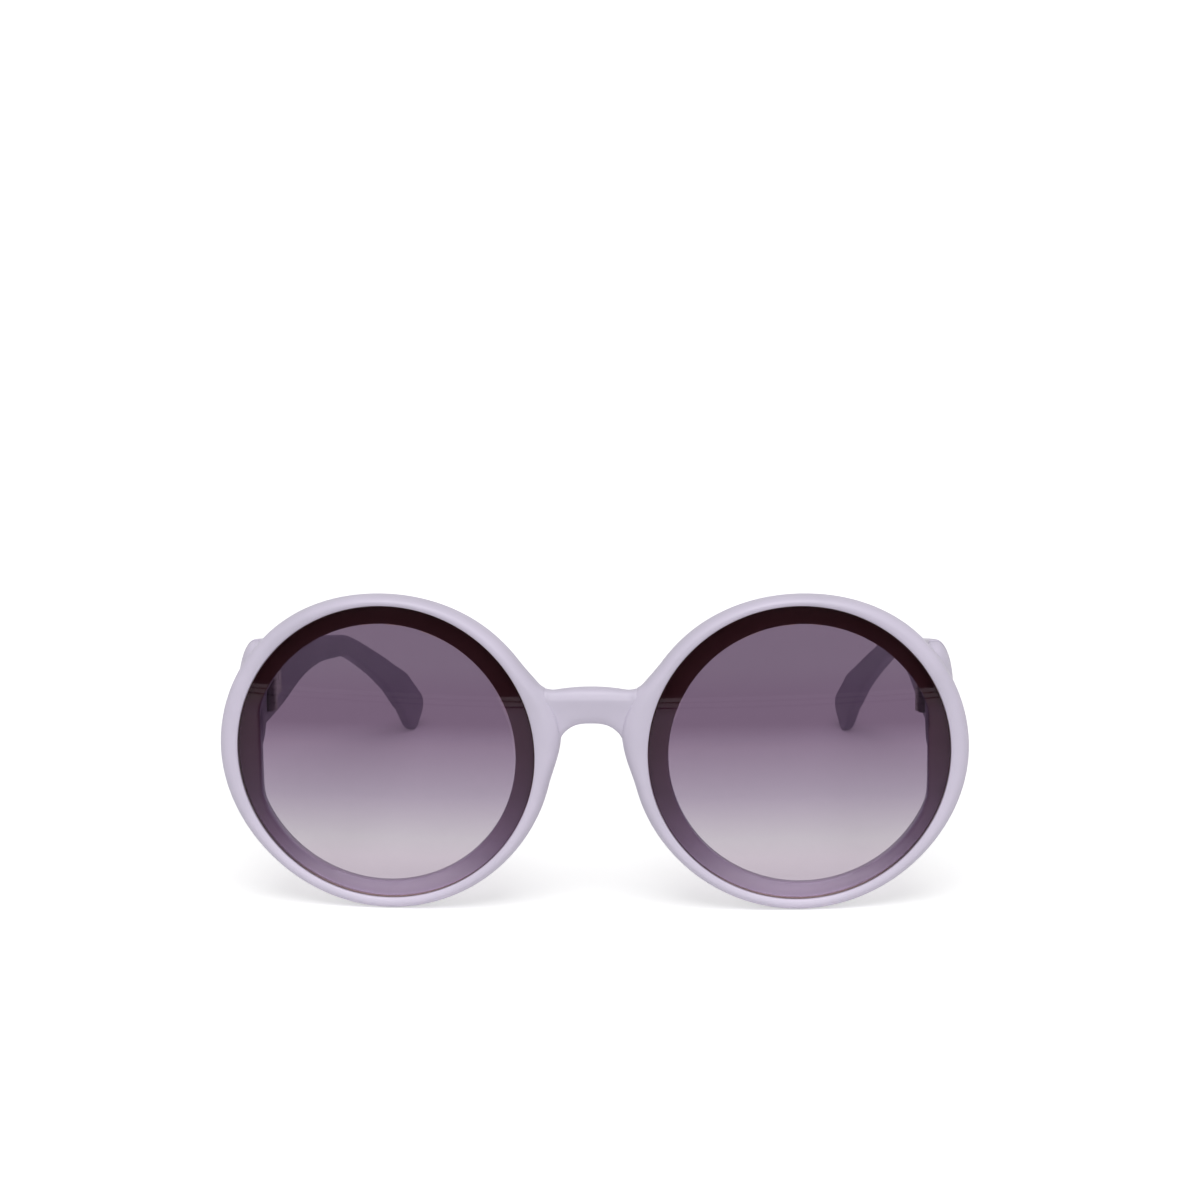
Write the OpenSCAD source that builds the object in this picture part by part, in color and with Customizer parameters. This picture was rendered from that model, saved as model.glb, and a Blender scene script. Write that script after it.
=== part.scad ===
// Oversized round sunglasses, open, standing on the rims and the ends of the temples.
// The front faces -Y, up is +Z, and the origin is on the floor under the middle of the whole.
// Left and right are the wearer's: the right side is at -X.

/* [Lenses] */
// Radius of a lens
lens_r = 29.9; // [26:0.1:33]
// Thickness of a lens
lens_t = 2; // [1.6:0.1:2.4]
// How far the front of a lens domes forward at its middle
lens_dome = 0.8; // [0.2:0.1:1.6]
// Bevel round both edges of a lens
lens_bevel = 0.15; // [0.05:0.05:0.4]
// Distance between the two lenses, across the nose
nose_w = 22.4; // [18:0.2:28]
// Angle that each half of the front wraps back, in degrees
wrap = 4.4; // [0:0.2:7]

/* [Rims] */
// Depth of a rim from its crest to its back
rim_depth = 4.6; // [4.2:0.1:6]
// Height of the rounded crest of a rim above the edge of the lens
rim_crest = 0.7; // [0.3:0.1:1.2]
// Width of a rim beside the hinge
rim_outer_w = 3.7; // [2.8:0.1:5]
// Width of a rim above the hinge, where it is broadest
rim_upper_outer_w = 3.2; // [2.8:0.1:5]
// Width of a rim at the top
rim_top_w = 1.8; // [1.6:0.1:3.4]
// Width of a rim above the bridge
rim_upper_nose_w = 2.5; // [2:0.1:3.4]
// Width of a rim beside the nose
rim_nose_w = 3.1; // [2.4:0.1:4]
// Width of a rim below the nose
rim_lower_nose_w = 2.4; // [1.6:0.1:3]
// Width of a rim at the bottom
rim_bottom_w = 2.3; // [1.6:0.1:3.4]
// Width of a rim below the hinge
rim_lower_outer_w = 2.6; // [1.8:0.1:3.6]
// How far the rims broaden where they flow into the bridge
rim_flare = 2.3; // [1.4:0.1:2.8]
// Width of the ledge that the lens lies on
ledge_w = 3.5; // [2.6:0.1:4.4]
// Width of the ledge at its straight side, in front of the hinge
ledge_flat_w = 4.4; // [3.6:0.1:5.4]
// Rise of the moulded nose pads behind the rims
pad_h = 3.6; // [2:0.2:5]

/* [Bridge] */
// Height of the top of the bridge above the middles of the lenses
bridge_top_rise = 13.4; // [11:0.2:15.8]
// Height of the arch under the bridge above the middles of the lenses
bridge_arch_rise = 6.2; // [3.8:0.2:7.8]
// Depth of the bridge
bridge_depth = 5.2; // [4:0.2:6]
// How far the bridge lies behind the crests of the rims
bridge_setback = 0.9; // [0.4:0.1:1.6]

/* [Temples] */
// How far the ridge of a temple's rounded side lies inside the outer edge of its rim
temple_inset = 6.5; // [3:0.1:7.5]
// Height of a temple at the hinge
temple_h = 17.8; // [15:0.2:19]
// Thickness of a temple at the hinge
temple_t = 5.5; // [5:0.1:6.5]
// Height of the middle of a temple at the hinge above the middles of the lenses
temple_rise = 11.2; // [9.8:0.1:13.8]
// Distance from the hinge joint to the middle of the rounded end
temple_reach = 126.2; // [110:0.2:135]
// Height of the rounded end of a temple
tip_h = 9.4; // [7:0.2:11]
// How far the end of a temple curves in from its straight part
tip_in = 6.2; // [2:0.2:10]
// Angle between a temple and straight back, before its end curves in, in degrees
temple_lean = 5; // [2:0.5:7]

/* [Hinges] */
// How far a lug reaches behind its rim, to the hinge joint
lug_reach = 6.2; // [5.6:0.1:7.8]
// Gap between a lug and its temple
joint_gap = 0.3; // [0.2:0.05:0.5]
// Height of the middle of a hinge above the middles of the lenses
hinge_rise = 9.6; // [8.8:0.1:12.8]
// Height of a hinge from its lowest knuckle to its highest
hinge_h = 7.6; // [7:0.2:9]
// Radius of the hinge barrel
barrel_r = 1.3; // [1.2:0.05:1.6]
// Radius of the shaft of the hinge screw
pin_r = 0.7; // [0.5:0.05:0.8]
// Thickness of a hinge leaf
leaf_t = 1; // [0.8:0.05:1.2]
// Length of the leaf on the temple
temple_leaf_l = 12; // [10:0.5:16]
// Width of the leaf on the lug
front_leaf_w = 3.9; // [3.5:0.1:4.4]
// Radius of the shafts of the leaf screws
leaf_screw_r = 0.55; // [0.4:0.05:0.6]

/* [Hidden] */

$fn = 64;
cut = 1;

// Clearances: round the lens, under it, round a screw in plastic, round the hinge screw,
// between neighbouring knuckles and round the barrel in its notch.
lens_gap = 0.1;
seat_gap = 0.02;
screw_gap = 0.03;
pin_gap = 0.05;
knuckle_gap = 0.1;
barrel_gap = 0.3;

// Rims: the seat of the lens, the ledge behind it and the rounded section.
rim_steps = 72;
rim_widths = [
    rim_outer_w, rim_upper_outer_w, rim_top_w, rim_upper_nose_w,
    rim_nose_w, rim_lower_nose_w, rim_bottom_w, rim_lower_outer_w
];
seat_r = lens_r + lens_gap;
seat_n = -lens_t - seat_gap;
back_n = rim_crest - rim_depth;
lip_n = 0.1;
rim_edge = 0.9;
ledge_edge = 0.3;
crest_share = 0.42;
side_share = 0.35;
flare_angle = 169;
flare_span = 24;
opening_r = seat_r - ledge_w;
opening_flat = seat_r - ledge_flat_w;
opening_drop = 0.7;
opening_shift = 0.7;
opening_sharpness = 90;

// Nose pads, placed by their angle round the lens.
pad_angle = 202;
pad_span = 30;
pad_splay_share = 0.3;
pad_crown_share = 0.12;
pad_inner_share = 0.45;

// Places of the lenses. The rims are cut flat by stand_cut where they stand.
stand_cut = 0.06;
lens_x = lens_r + nose_w / 2;
lens_y = lens_x * tan(wrap);
lens_z = seat_r + rim_bottom_w - stand_cut;

// Bridge. Its ends lie in the rims.
bridge_steps = 18;
bridge_end = 0.6;
bridge_half_w = lens_x - seat_r - bridge_end;
bridge_top_z = lens_z + bridge_top_rise;
bridge_top_fall = 1;
bridge_arch_z = lens_z + bridge_arch_rise;
bridge_arch_w = 7.1;
bridge_arch_fall = 4.4;
bridge_arch_round = 3;
bridge_back_fall = 1.7;
bridge_round = 3.2;

// Temples: each row gives a place along the reach, the height above the end's, the height of
// the section and its thickness, as shares of the reach, the rise, the section at the hinge
// and the thickness there.
temple_shares = [
    [0, 1, 1, 1],
    [0.05, 0.981, 0.927, 0.97],
    [0.14, 0.948, 0.775, 0.9],
    [0.28, 0.907, 0.494, 0.8],
    [0.41, 0.848, 0.348, 0.72],
    [0.535, 0.765, 0.287, 0.68],
    [0.66, 0.665, 0.264, 0.68],
    [0.795, 0.474, 0.298, 0.69],
    [0.895, 0.291, 0.371, 0.71],
    [0.965, 0.123, 0.466, 0.73],
    [1, 0, 0, 0.73]
];
temple_steps = 34;
cap_steps = 6;
cap_angle = 84;
section_steps = 20;
temple_curve_share = 0.615;
outer_share = 0.6;
outer_round = 1.9;
inner_round = 5;
tip_z = tip_h / 2 - stand_cut;
temple_x = lens_x + seat_r + rim_outer_w - temple_inset;
temple_z = lens_z + temple_rise;
plane_y = lens_y + (temple_x - lens_x) * tan(wrap);
joint_y = plane_y - back_n + lug_reach;
temple_start = joint_y + joint_gap / 2;
lug_end = joint_y - joint_gap / 2;
curve_y = temple_start + temple_reach * temple_curve_share;

// Lugs: each row gives a place from the start in the rim to the joint, the height and the
// thickness of the section as shares of the temple's, and the share of lug_drop there. A lug
// starts halfway into the ledge.
lug_shares = [[0, 1.02, 0.72, 1], [0.35, 1.02, 0.86, 0.8], [0.7, 1, 1, 0.2], [1, 1, 1, 0]];
lug_start = plane_y - (seat_n + back_n) / 2;
lug_drop = 2.6;
lug_shift = -0.5;

// Hinges. The barrel's axis lies inside the temple's inner face.
axis_inset = 0.7;
axis_x = temple_x - temple_t * (1 - outer_share) - axis_inset;
knuckles = 5;
hinge_z = lens_z + hinge_rise;
hinge_low = hinge_z - hinge_h / 2;
knuckle_h = hinge_h / knuckles;
bore_r = pin_r + pin_gap;
head_r = 1.15;
head_h = 0.7;
head_slot_w = 0.3;
head_slot_depth = 0.35;
pin_end = 0.4;
leaf_head_r = 0.95;
leaf_head_h = 0.45;
leaf_screw_l = 2.9;
leaf_slot_w = 0.22;
leaf_slot_depth = 0.2;
front_screw_spread = 4.4;
front_screw_share = 0.62;
front_screw_a = axis_inset + front_leaf_w * front_screw_share;
temple_screw_shares = [0.42, 0.82];
temple_leaf_h = 6.6;

// A smooth curve through four neighbouring values.
function through(p, q, r, s, t) =
    q + t * ((r - p) + t * ((2 * p - 5 * q + 4 * r - s) + t * (3 * q - p - 3 * r + s))) / 2;

// A smooth hump from one side of a middle to the other, 1 at the middle.
function hump(a, middle, span) =
    let (d = abs(a - middle) / span)
    d < 1 ? pow(cos(90 * d), 2) : 0;

// Width of the rim at an angle round the lens: 0 points to the hinge and 90 up.
function rim_w(a) =
    let (count = len(rim_widths), k = a * count / 360, i = floor(k))
    let (flare = rim_flare * hump(a % 360, flare_angle, flare_span))
    flare + through(
        rim_widths[(i + count - 1) % count], rim_widths[i % count],
        rim_widths[(i + 1) % count], rim_widths[(i + 2) % count], k - i
    );

// Radius of the opening: a circle a little lower and nearer the hinge than the lens, which
// blends into a straight side in front of the hinge.
function ledge_r(a) =
    let (circle_r = opening_r + opening_shift * cos(a) - opening_drop * sin(a))
    let (flat_r = opening_flat / max(cos(a), opening_flat / (2 * opening_r)))
    let (least = min(circle_r, flat_r), ratio = least / max(circle_r, flat_r))
    least * pow(1 + pow(ratio, opening_sharpness), -1 / opening_sharpness);

// Section of the rim: radius from the middle of the lens, and height above its edge.
function rim_section(a) =
    let (outer = seat_r + rim_w(a), inner = ledge_r(a), rise = pad_h * hump(a % 360, pad_angle, pad_span))
    let (crest = seat_r + rim_w(a) * crest_share, side_n = -rim_depth * side_share)
    let (heel = outer - rim_edge - rise * pad_splay_share, width = heel - inner)
    concat(
        [[seat_r, seat_n], [seat_r, lip_n]],
        [for (t = [30, 60, 90])
            [crest - (crest - seat_r) * cos(t), lip_n + (rim_crest - lip_n) * sin(t)]],
        [for (t = [22.5:22.5:90])
            [crest + (outer - crest) * sin(t), side_n + (rim_crest - side_n) * cos(t)]],
        [for (t = [0, 45]) [
            outer - rim_edge * (1 - cos(t)) - rise * pad_splay_share * sin(t),
            back_n + rim_edge * (1 - sin(t)) - rise * sin(t)
        ]],
        [
            [heel, back_n - rise],
            [inner + width * pad_inner_share, back_n - rise * (1 - pad_crown_share)],
            [inner + ledge_edge, back_n],
            [inner, back_n + ledge_edge],
            [inner, seat_n - ledge_edge],
            [inner + ledge_edge, seat_n]
        ]
    );

// Middle of the temple, how far it is from straight back, and the size of its section.
function temple_row(k) =
    let (last = len(temple_shares) - 1, i = min(floor(k), last - 1))
    through(
        temple_shares[max(i - 1, 0)], temple_shares[i],
        temple_shares[i + 1], temple_shares[min(i + 2, last)], k - i
    );
function temple_mid_x(y) =
    let (past = max(y - curve_y, 0) / (temple_start + temple_reach - curve_y))
    temple_x - (y - temple_start) * tan(temple_lean) - tip_in * past * past;
function temple_mid(row) =
    let (y = temple_start + temple_reach * row[0])
    [temple_mid_x(y), y, tip_z + (temple_z - tip_z) * row[1]];

// A section across a path: its middle, the way along, its height and its thickness. The inner
// face is flatter than the outer one.
function section(mid, way, height, thick) =
    let (side = [way[1], -way[0], 0] / norm([way[1], way[0]]), up = cross(side, way))
    [for (i = [0:section_steps - 1])
        let (a = 360 * i / section_steps, outer = cos(a) > 0)
        let (power = 2 / (outer ? outer_round : inner_round))
        mid
            + side * sign(cos(a)) * pow(abs(cos(a)), power)
                * thick * (outer ? outer_share : 1 - outer_share)
            + up * sign(sin(a)) * pow(abs(sin(a)), power) * height / 2
    ];

function unit(v) = v / norm(v);

// Sections of the temple: the arm, then the rounded end.
arm_k = len(temple_shares) - 2;
arm_rows = [for (i = [0:temple_steps]) temple_row(arm_k * i / temple_steps)];
arm_mids = [for (row = arm_rows) temple_mid(row)];
arm_ways = [for (i = [0:temple_steps])
    i == 0 ? [0, 1, 0] : unit(arm_mids[min(i + 1, temple_steps)] - arm_mids[i - 1])];
tip_mid = temple_mid(temple_shares[arm_k + 1]);
end_way = unit(tip_mid - arm_mids[temple_steps]);
arm_sections = [for (i = [0:temple_steps])
    section(arm_mids[i], arm_ways[i], temple_h * arm_rows[i][2], temple_t * arm_rows[i][3])];
cap_sections = [for (i = [0:cap_steps])
    let (a = cap_angle * i / cap_steps, thick = temple_t * temple_shares[arm_k + 1][3])
    section(tip_mid + end_way * sin(a) * tip_h / 2, end_way, tip_h * cos(a), thick * cos(a))];
temple_sections = concat(arm_sections, cap_sections);

// Sections of the lug, which carry on the temple's first section into the rim.
lug_sections = [for (row = lug_shares)
    let (x = temple_x + lug_shift * row[3], y = lug_start + (lug_end - lug_start) * row[0])
    section([x, y, temple_z - lug_drop * row[3]], [0, 1, 0], temple_h * row[1], temple_t * row[2])];

// The bridge's sections lie across X.
function bridge_section(x) =
    let (f = x / bridge_half_w, g = min(abs(x) / bridge_arch_w, 1))
    let (top = bridge_top_z - bridge_top_fall * f * f)
    let (low = bridge_arch_z - bridge_arch_fall * pow(g, bridge_arch_round))
    let (depth = bridge_depth - bridge_back_fall * f * f)
    [for (i = [0:section_steps - 1])
        let (a = 360 * i / section_steps, power = 2 / bridge_round)
        [
            x,
            bridge_setback + depth / 2 + sign(cos(a)) * pow(abs(cos(a)), power) * depth / 2,
            (top + low) / 2 + sign(sin(a)) * pow(abs(sin(a)), power) * (top - low) / 2
        ]
    ];

// The whole is moved so that its middle lies over the origin.
rim_fronts = [for (i = [0:rim_steps - 1]) let (a = 360 * i / rim_steps)
    for (p = rim_section(a)) lens_y + p[0] * cos(a) * sin(wrap) - p[1] * cos(wrap)];
temple_ends = [for (s = temple_sections) for (p = s) p[1]];
mid_y = (min(rim_fronts) + max(temple_ends)) / 2;

// A solid through closed sections with equal numbers of points, round a ring or capped.
module through_sections(sections, ring = false) {
    count = len(sections[0]);
    rows = len(sections);
    last = ring ? rows - 1 : rows - 2;
    sides = [for (i = [0:last]) for (j = [0:count - 1])
        let (p = i * count, q = ((i + 1) % rows) * count, k = (j + 1) % count)
        for (face = [[p + j, q + k, q + j], [p + j, p + k, q + k]]) face];
    start = [for (j = [count - 1:-1:0]) j];
    end = [for (j = [0:count - 1]) (rows - 1) * count + j];
    caps = ring ? [] : [start, end];
    polyhedron([for (s = sections) for (p = s) p], concat(sides, caps));
}

// Puts X, Y and Z of a lens on its width, height and axis, at the wearer's left.
module at_lens() {
    translate([lens_x, lens_y, lens_z]) rotate([0, 0, wrap]) rotate([90, 0, 0]) children();
}

// Puts the origin on the hinge's axis, at the wearer's left.
module at_hinge(turn = 0) {
    translate([axis_x, joint_y, 0]) rotate([0, 0, turn]) children();
}

// Draws at the wearer's left, or mirrored at the right, with the middle over the origin.
module at_side(right) {
    translate([0, -mid_y, 0]) mirror([right ? 1 : 0, 0, 0]) children();
}

module rim() {
    at_lens() through_sections([for (i = [0:rim_steps - 1])
        let (a = -360 * i / rim_steps)
        [for (p = rim_section(a + 360)) [p[0] * cos(a), p[0] * sin(a), p[1]]]], ring = true);
}

module bridge() {
    through_sections([for (i = [0:bridge_steps])
        bridge_section(bridge_half_w * (1 - 2 * i / bridge_steps))]);
}

// Room for the leaf, the barrel and the screws in a lug.
module lug_cuts() {
    at_hinge() {
        translate([0, -joint_gap / 2 - leaf_t, hinge_low - screw_gap])
            cube([axis_inset + front_leaf_w + screw_gap, leaf_t + cut, hinge_h + 2 * screw_gap]);
        barrel_notch();
    }
    for (end = [-1, 1]) front_screw_place(end) leaf_screw_hole();
}

module barrel_notch() {
    translate([0, 0, hinge_low - pin_end - barrel_gap])
        cylinder(r = barrel_r + barrel_gap, h = hinge_h + pin_end + head_h + 2 * barrel_gap);
}

module front_frame() {
    difference() {
        union() {
            for (right = [false, true]) at_side(right) {
                rim();
                through_sections(lug_sections);
            }
            at_side(false) bridge();
        }
        for (right = [false, true]) at_side(right) lug_cuts();
        translate([-temple_reach, -temple_reach, -cut]) cube([2 * temple_reach, 2 * temple_reach, cut]);
    }
}

module lens() {
    steps = 12;
    body_r = lens_r - lens_bevel;
    fall = [for (i = [0:steps]) lens_dome * (1 - pow(i / steps, 2))];
    front = [for (i = [0:steps]) [body_r * i / steps, fall[i]]];
    back = [for (i = [steps:-1:0]) [body_r * i / steps, fall[i] - lens_t]];
    edge = [[lens_r, -lens_bevel], [lens_r, lens_bevel - lens_t]];
    at_lens() rotate_extrude($fn = 128) polygon(concat(front, edge, back));
}

module temple() {
    difference() {
        through_sections(temple_sections);
        at_hinge() {
            translate([0, 0, hinge_z - temple_leaf_h / 2 - screw_gap]) rotate([0, 0, temple_lean])
                translate([-cut, -cut, 0]) cube([
                    cut + axis_inset + leaf_t,
                    cut + joint_gap + temple_leaf_l + screw_gap,
                    temple_leaf_h + 2 * screw_gap
                ]);
            barrel_notch();
        }
        for (share = temple_screw_shares) temple_screw_place(share) leaf_screw_hole();
        translate([0, 0, -cut]) cube([temple_reach, 2 * temple_reach, cut]);
    }
}

module front_leaf() {
    at_hinge() difference() {
        union() {
            translate([0, -joint_gap / 2 - leaf_t, hinge_low])
                cube([axis_inset + front_leaf_w, leaf_t, hinge_h]);
            translate([0, 0, hinge_low]) cylinder(r = barrel_r, h = hinge_h);
        }
        for (k = [1:2:knuckles - 1]) knuckle_room(k);
        translate([0, 0, hinge_low - cut]) cylinder(r = bore_r, h = hinge_h + 2 * cut);
        for (end = [-1, 1]) front_screw_at(end) leaf_screw_hole();
    }
}

// Room for the knuckle of the other leaf, with a gap above and below it.
module knuckle_room(k) {
    translate([0, 0, hinge_low + k * knuckle_h - knuckle_gap / 2])
        cylinder(r = barrel_r + knuckle_gap, h = knuckle_h + knuckle_gap);
}

module temple_leaf() {
    difference() {
        union() {
            at_hinge(temple_lean) translate([axis_inset, joint_gap, hinge_z - temple_leaf_h / 2])
                cube([leaf_t, temple_leaf_l, temple_leaf_h]);
            for (k = [1:2:knuckles - 1]) at_hinge(temple_lean)
                translate([0, 0, hinge_low + k * knuckle_h + knuckle_gap / 2])
                    linear_extrude(knuckle_h - knuckle_gap) union() {
                        circle(r = barrel_r);
                        polygon([
                            [0, 0], [axis_inset + leaf_t, joint_gap],
                            [axis_inset + leaf_t, 2 * barrel_r], [axis_inset, 2 * barrel_r],
                            [0, barrel_r]
                        ]);
                    }
        }
        at_hinge() {
            for (k = [0:2:knuckles - 1]) knuckle_room(k);
            translate([0, 0, hinge_low - cut]) cylinder(r = bore_r, h = hinge_h + 2 * cut);
        }
        for (share = temple_screw_shares) temple_screw_place(share) leaf_screw_hole();
    }
}

module hinge_screw() {
    at_hinge() difference() {
        union() {
            translate([0, 0, hinge_low - pin_end]) cylinder(r = pin_r, h = hinge_h + pin_end);
            translate([0, 0, hinge_low + hinge_h]) cylinder(r = head_r, h = head_h);
        }
        translate([-head_r - cut, -head_slot_w / 2, hinge_low + hinge_h + head_h - head_slot_depth])
            cube([2 * (head_r + cut), head_slot_w, head_slot_depth + cut]);
    }
}

// Places of the leaf screws: Z points out of the leaf, from its face.
module front_screw_at(end) {
    translate([front_screw_a, -joint_gap / 2, hinge_z + end * front_screw_spread / 2])
        rotate([-90, 0, 0]) children();
}

module front_screw_place(end) {
    at_hinge() front_screw_at(end) children();
}

module temple_screw_place(share) {
    at_hinge(temple_lean) translate([axis_inset, joint_gap + temple_leaf_l * share, hinge_z])
        rotate([0, -90, 0]) children();
}

module leaf_screw_shape(gap) {
    translate([0, 0, -leaf_head_h - gap])
        cylinder(r1 = leaf_screw_r + gap, r2 = leaf_head_r + gap, h = leaf_head_h + gap);
    translate([0, 0, -leaf_screw_l - gap])
        cylinder(r = leaf_screw_r + gap, h = leaf_screw_l - leaf_head_h / 2);
}

module leaf_screw_hole() {
    leaf_screw_shape(screw_gap);
}

module leaf_screw() {
    difference() {
        leaf_screw_shape(0);
        translate([-leaf_head_r, -leaf_slot_w / 2, -leaf_slot_depth])
            cube([2 * leaf_head_r, leaf_slot_w, leaf_slot_depth + cut]);
    }
}

module front_leaf_screws() {
    for (end = [-1, 1]) front_screw_place(end) leaf_screw();
}

module temple_leaf_screws() {
    for (share = temple_screw_shares) temple_screw_place(share) leaf_screw();
}

color("#d5cbe0") front_frame();
color("#7b677b", 0.7) at_side(true) lens();  // lens_right
color("#7b677b", 0.7) at_side(false) lens();  // lens_left
color("#cfc4da") at_side(true) temple();  // temple_right
color("#cfc4da") at_side(false) temple();  // temple_left
color("silver") at_side(true) front_leaf();  // front_leaf_right
color("silver") at_side(false) front_leaf();  // front_leaf_left
color("silver") at_side(true) temple_leaf();  // temple_leaf_right
color("silver") at_side(false) temple_leaf();  // temple_leaf_left
color("gray") at_side(true) hinge_screw();  // hinge_screw_right
color("gray") at_side(false) hinge_screw();  // hinge_screw_left
color("gray") at_side(true) front_leaf_screws();  // front_leaf_screws_right
color("gray") at_side(false) front_leaf_screws();  // front_leaf_screws_left
color("gray") at_side(true) temple_leaf_screws();  // temple_leaf_screws_right
color("gray") at_side(false) temple_leaf_screws();  // temple_leaf_screws_left
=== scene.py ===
"""Oversized round sunglasses: finishes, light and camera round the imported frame.

Lengths are in millimetres and follow the part's source, but the finishes read metres. The
source's front frame has y = 0 where the plane of the lenses crosses the middle, and MID_Y moves
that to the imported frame. The wearer's left is at +X, and the lenses face -Y. Angles round a lens
start at the hinge's side and go over the top, in degrees. WRAP and TEMPLE_LEAN are in radians.
"""

import bpy
import numpy as np
from mathutils import Matrix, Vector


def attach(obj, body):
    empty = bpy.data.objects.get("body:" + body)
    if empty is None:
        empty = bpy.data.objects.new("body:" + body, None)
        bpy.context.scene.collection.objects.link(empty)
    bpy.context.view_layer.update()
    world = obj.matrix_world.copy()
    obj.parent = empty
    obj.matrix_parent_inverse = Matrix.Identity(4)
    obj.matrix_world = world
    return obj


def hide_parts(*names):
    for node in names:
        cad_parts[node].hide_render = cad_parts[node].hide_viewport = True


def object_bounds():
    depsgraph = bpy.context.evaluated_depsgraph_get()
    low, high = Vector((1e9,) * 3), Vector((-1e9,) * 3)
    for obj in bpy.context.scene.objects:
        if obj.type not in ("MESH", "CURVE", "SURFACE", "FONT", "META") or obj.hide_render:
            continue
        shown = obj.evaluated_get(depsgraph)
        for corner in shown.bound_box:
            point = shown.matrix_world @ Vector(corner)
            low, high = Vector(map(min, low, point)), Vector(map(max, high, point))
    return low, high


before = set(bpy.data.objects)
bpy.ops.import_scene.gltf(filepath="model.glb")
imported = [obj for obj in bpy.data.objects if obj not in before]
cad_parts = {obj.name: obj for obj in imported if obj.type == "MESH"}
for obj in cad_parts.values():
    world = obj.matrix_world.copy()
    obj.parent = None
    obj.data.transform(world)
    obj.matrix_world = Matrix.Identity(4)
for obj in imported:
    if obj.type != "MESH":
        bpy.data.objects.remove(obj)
cad_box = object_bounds()

MM = 0.001
TINY = 1e-9

# Lenses, and how loosely they lie in the rims
LENS_R, LENS_T, LENS_DOME, LENS_BEVEL = 29.9, 2.0, 0.8, 0.15
NOSE_W, WRAP, LENS_GAP, SEAT_GAP = 22.4, np.radians(4.4), 0.1, 0.02

# Rims, with their widths at every 45 degrees
RIM_DEPTH, RIM_CREST = 4.6, 0.7
RIM_WIDTHS = np.array([3.7, 3.2, 1.8, 2.5, 3.1, 2.4, 2.3, 2.6])
RIM_FLARE, FLARE_ANGLE, FLARE_SPAN = 2.3, 169.0, 24.0
LEDGE_W, LEDGE_FLAT_W, OPENING_DROP, OPENING_SHIFT, OPENING_SHARPNESS = 3.5, 4.4, 0.7, 0.7, 90.0
PAD_H, PAD_ANGLE, PAD_SPAN, PAD_SPLAY, PAD_FALL, PAD_TOE = 3.6, 202.0, 30.0, 0.3, 3.5, 1.3
RIM_EDGE, LEDGE_EDGE, CREST_SHARE, SIDE_SHARE, STAND_CUT = 0.9, 0.3, 0.42, 0.35, 0.06
SEAT_R, SEAT_N, LIP_N = LENS_R + LENS_GAP, -LENS_T - SEAT_GAP, 0.1
BACK_N, SIDE_N = RIM_CREST - RIM_DEPTH, -SIDE_SHARE * RIM_DEPTH
LENS_X = LENS_R + NOSE_W / 2
LENS_Y = LENS_X * np.tan(WRAP)
LENS_Z = SEAT_R + RIM_WIDTHS[6] - STAND_CUT

# Bridge
BRIDGE_TOP_RISE, ARCH_RISE, BRIDGE_DEPTH, BRIDGE_SETBACK, BRIDGE_END = 13.4, 6.2, 5.2, 0.9, 0.6
BRIDGE_TOP_FALL, BRIDGE_BACK_FALL, ARCH_W, ARCH_FALL = 1.0, 1.7, 7.1, 4.4
BRIDGE_ROUND, BRIDGE_LEAN, BRIDGE_BAND = 3.2, 0.6, 2.1
BRIDGE_TOP, BRIDGE_ARCH = LENS_Z + BRIDGE_TOP_RISE, LENS_Z + ARCH_RISE
BRIDGE_HALF = LENS_X - SEAT_R - BRIDGE_END

# Temples. A row is a share of the reach, then shares of the height above the tip's middle, and
# of the height and thickness of the section.
TEMPLE_H, TEMPLE_T, TEMPLE_REACH, TEMPLE_LEAN = 17.8, 5.5, 126.2, np.radians(5)
TEMPLE_INSET, TEMPLE_RISE, LUG_REACH, TIP_H, TIP_IN, JOINT_GAP = 6.5, 11.2, 6.2, 9.4, 6.2, 0.3
TEMPLE_X, TEMPLE_Z = LENS_X + SEAT_R + RIM_WIDTHS[0] - TEMPLE_INSET, LENS_Z + TEMPLE_RISE
PLANE_Y = LENS_Y + (TEMPLE_X - LENS_X) * np.tan(WRAP)
JOINT_Y = PLANE_Y - BACK_N + LUG_REACH
TEMPLE_ROWS = np.array([
    [0, 1, 1, 1],
    [0.05, 0.981, 0.927, 0.97],
    [0.14, 0.948, 0.775, 0.9],
    [0.28, 0.907, 0.494, 0.8],
    [0.41, 0.848, 0.348, 0.72],
    [0.535, 0.765, 0.287, 0.68],
    [0.66, 0.665, 0.264, 0.68],
    [0.795, 0.474, 0.298, 0.69],
    [0.895, 0.291, 0.371, 0.71],
    [0.965, 0.123, 0.466, 0.73],
    [1, 0, 0, 0.73],
])
CURVE_SHARE, OUTER_SHARE, OUTER_ROUND, INNER_ROUND = 0.615, 0.6, 1.9, 5.0
TIP_Z = TIP_H / 2 - STAND_CUT
TEMPLE_START, LUG_END = JOINT_Y + JOINT_GAP / 2, JOINT_Y - JOINT_GAP / 2

# Lugs. A row is a share of the length, then shares of the height, the thickness and the shift.
LUG_ROWS = np.array([[0, 1.02, 0.72, 1], [0.35, 1.02, 0.86, 0.8], [0.7, 1, 1, 0.2], [1, 1, 1, 0]])
LUG_START, LUG_DROP, LUG_SHIFT = PLANE_Y - (SEAT_N + BACK_N) / 2, 2.6, -0.5

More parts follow.
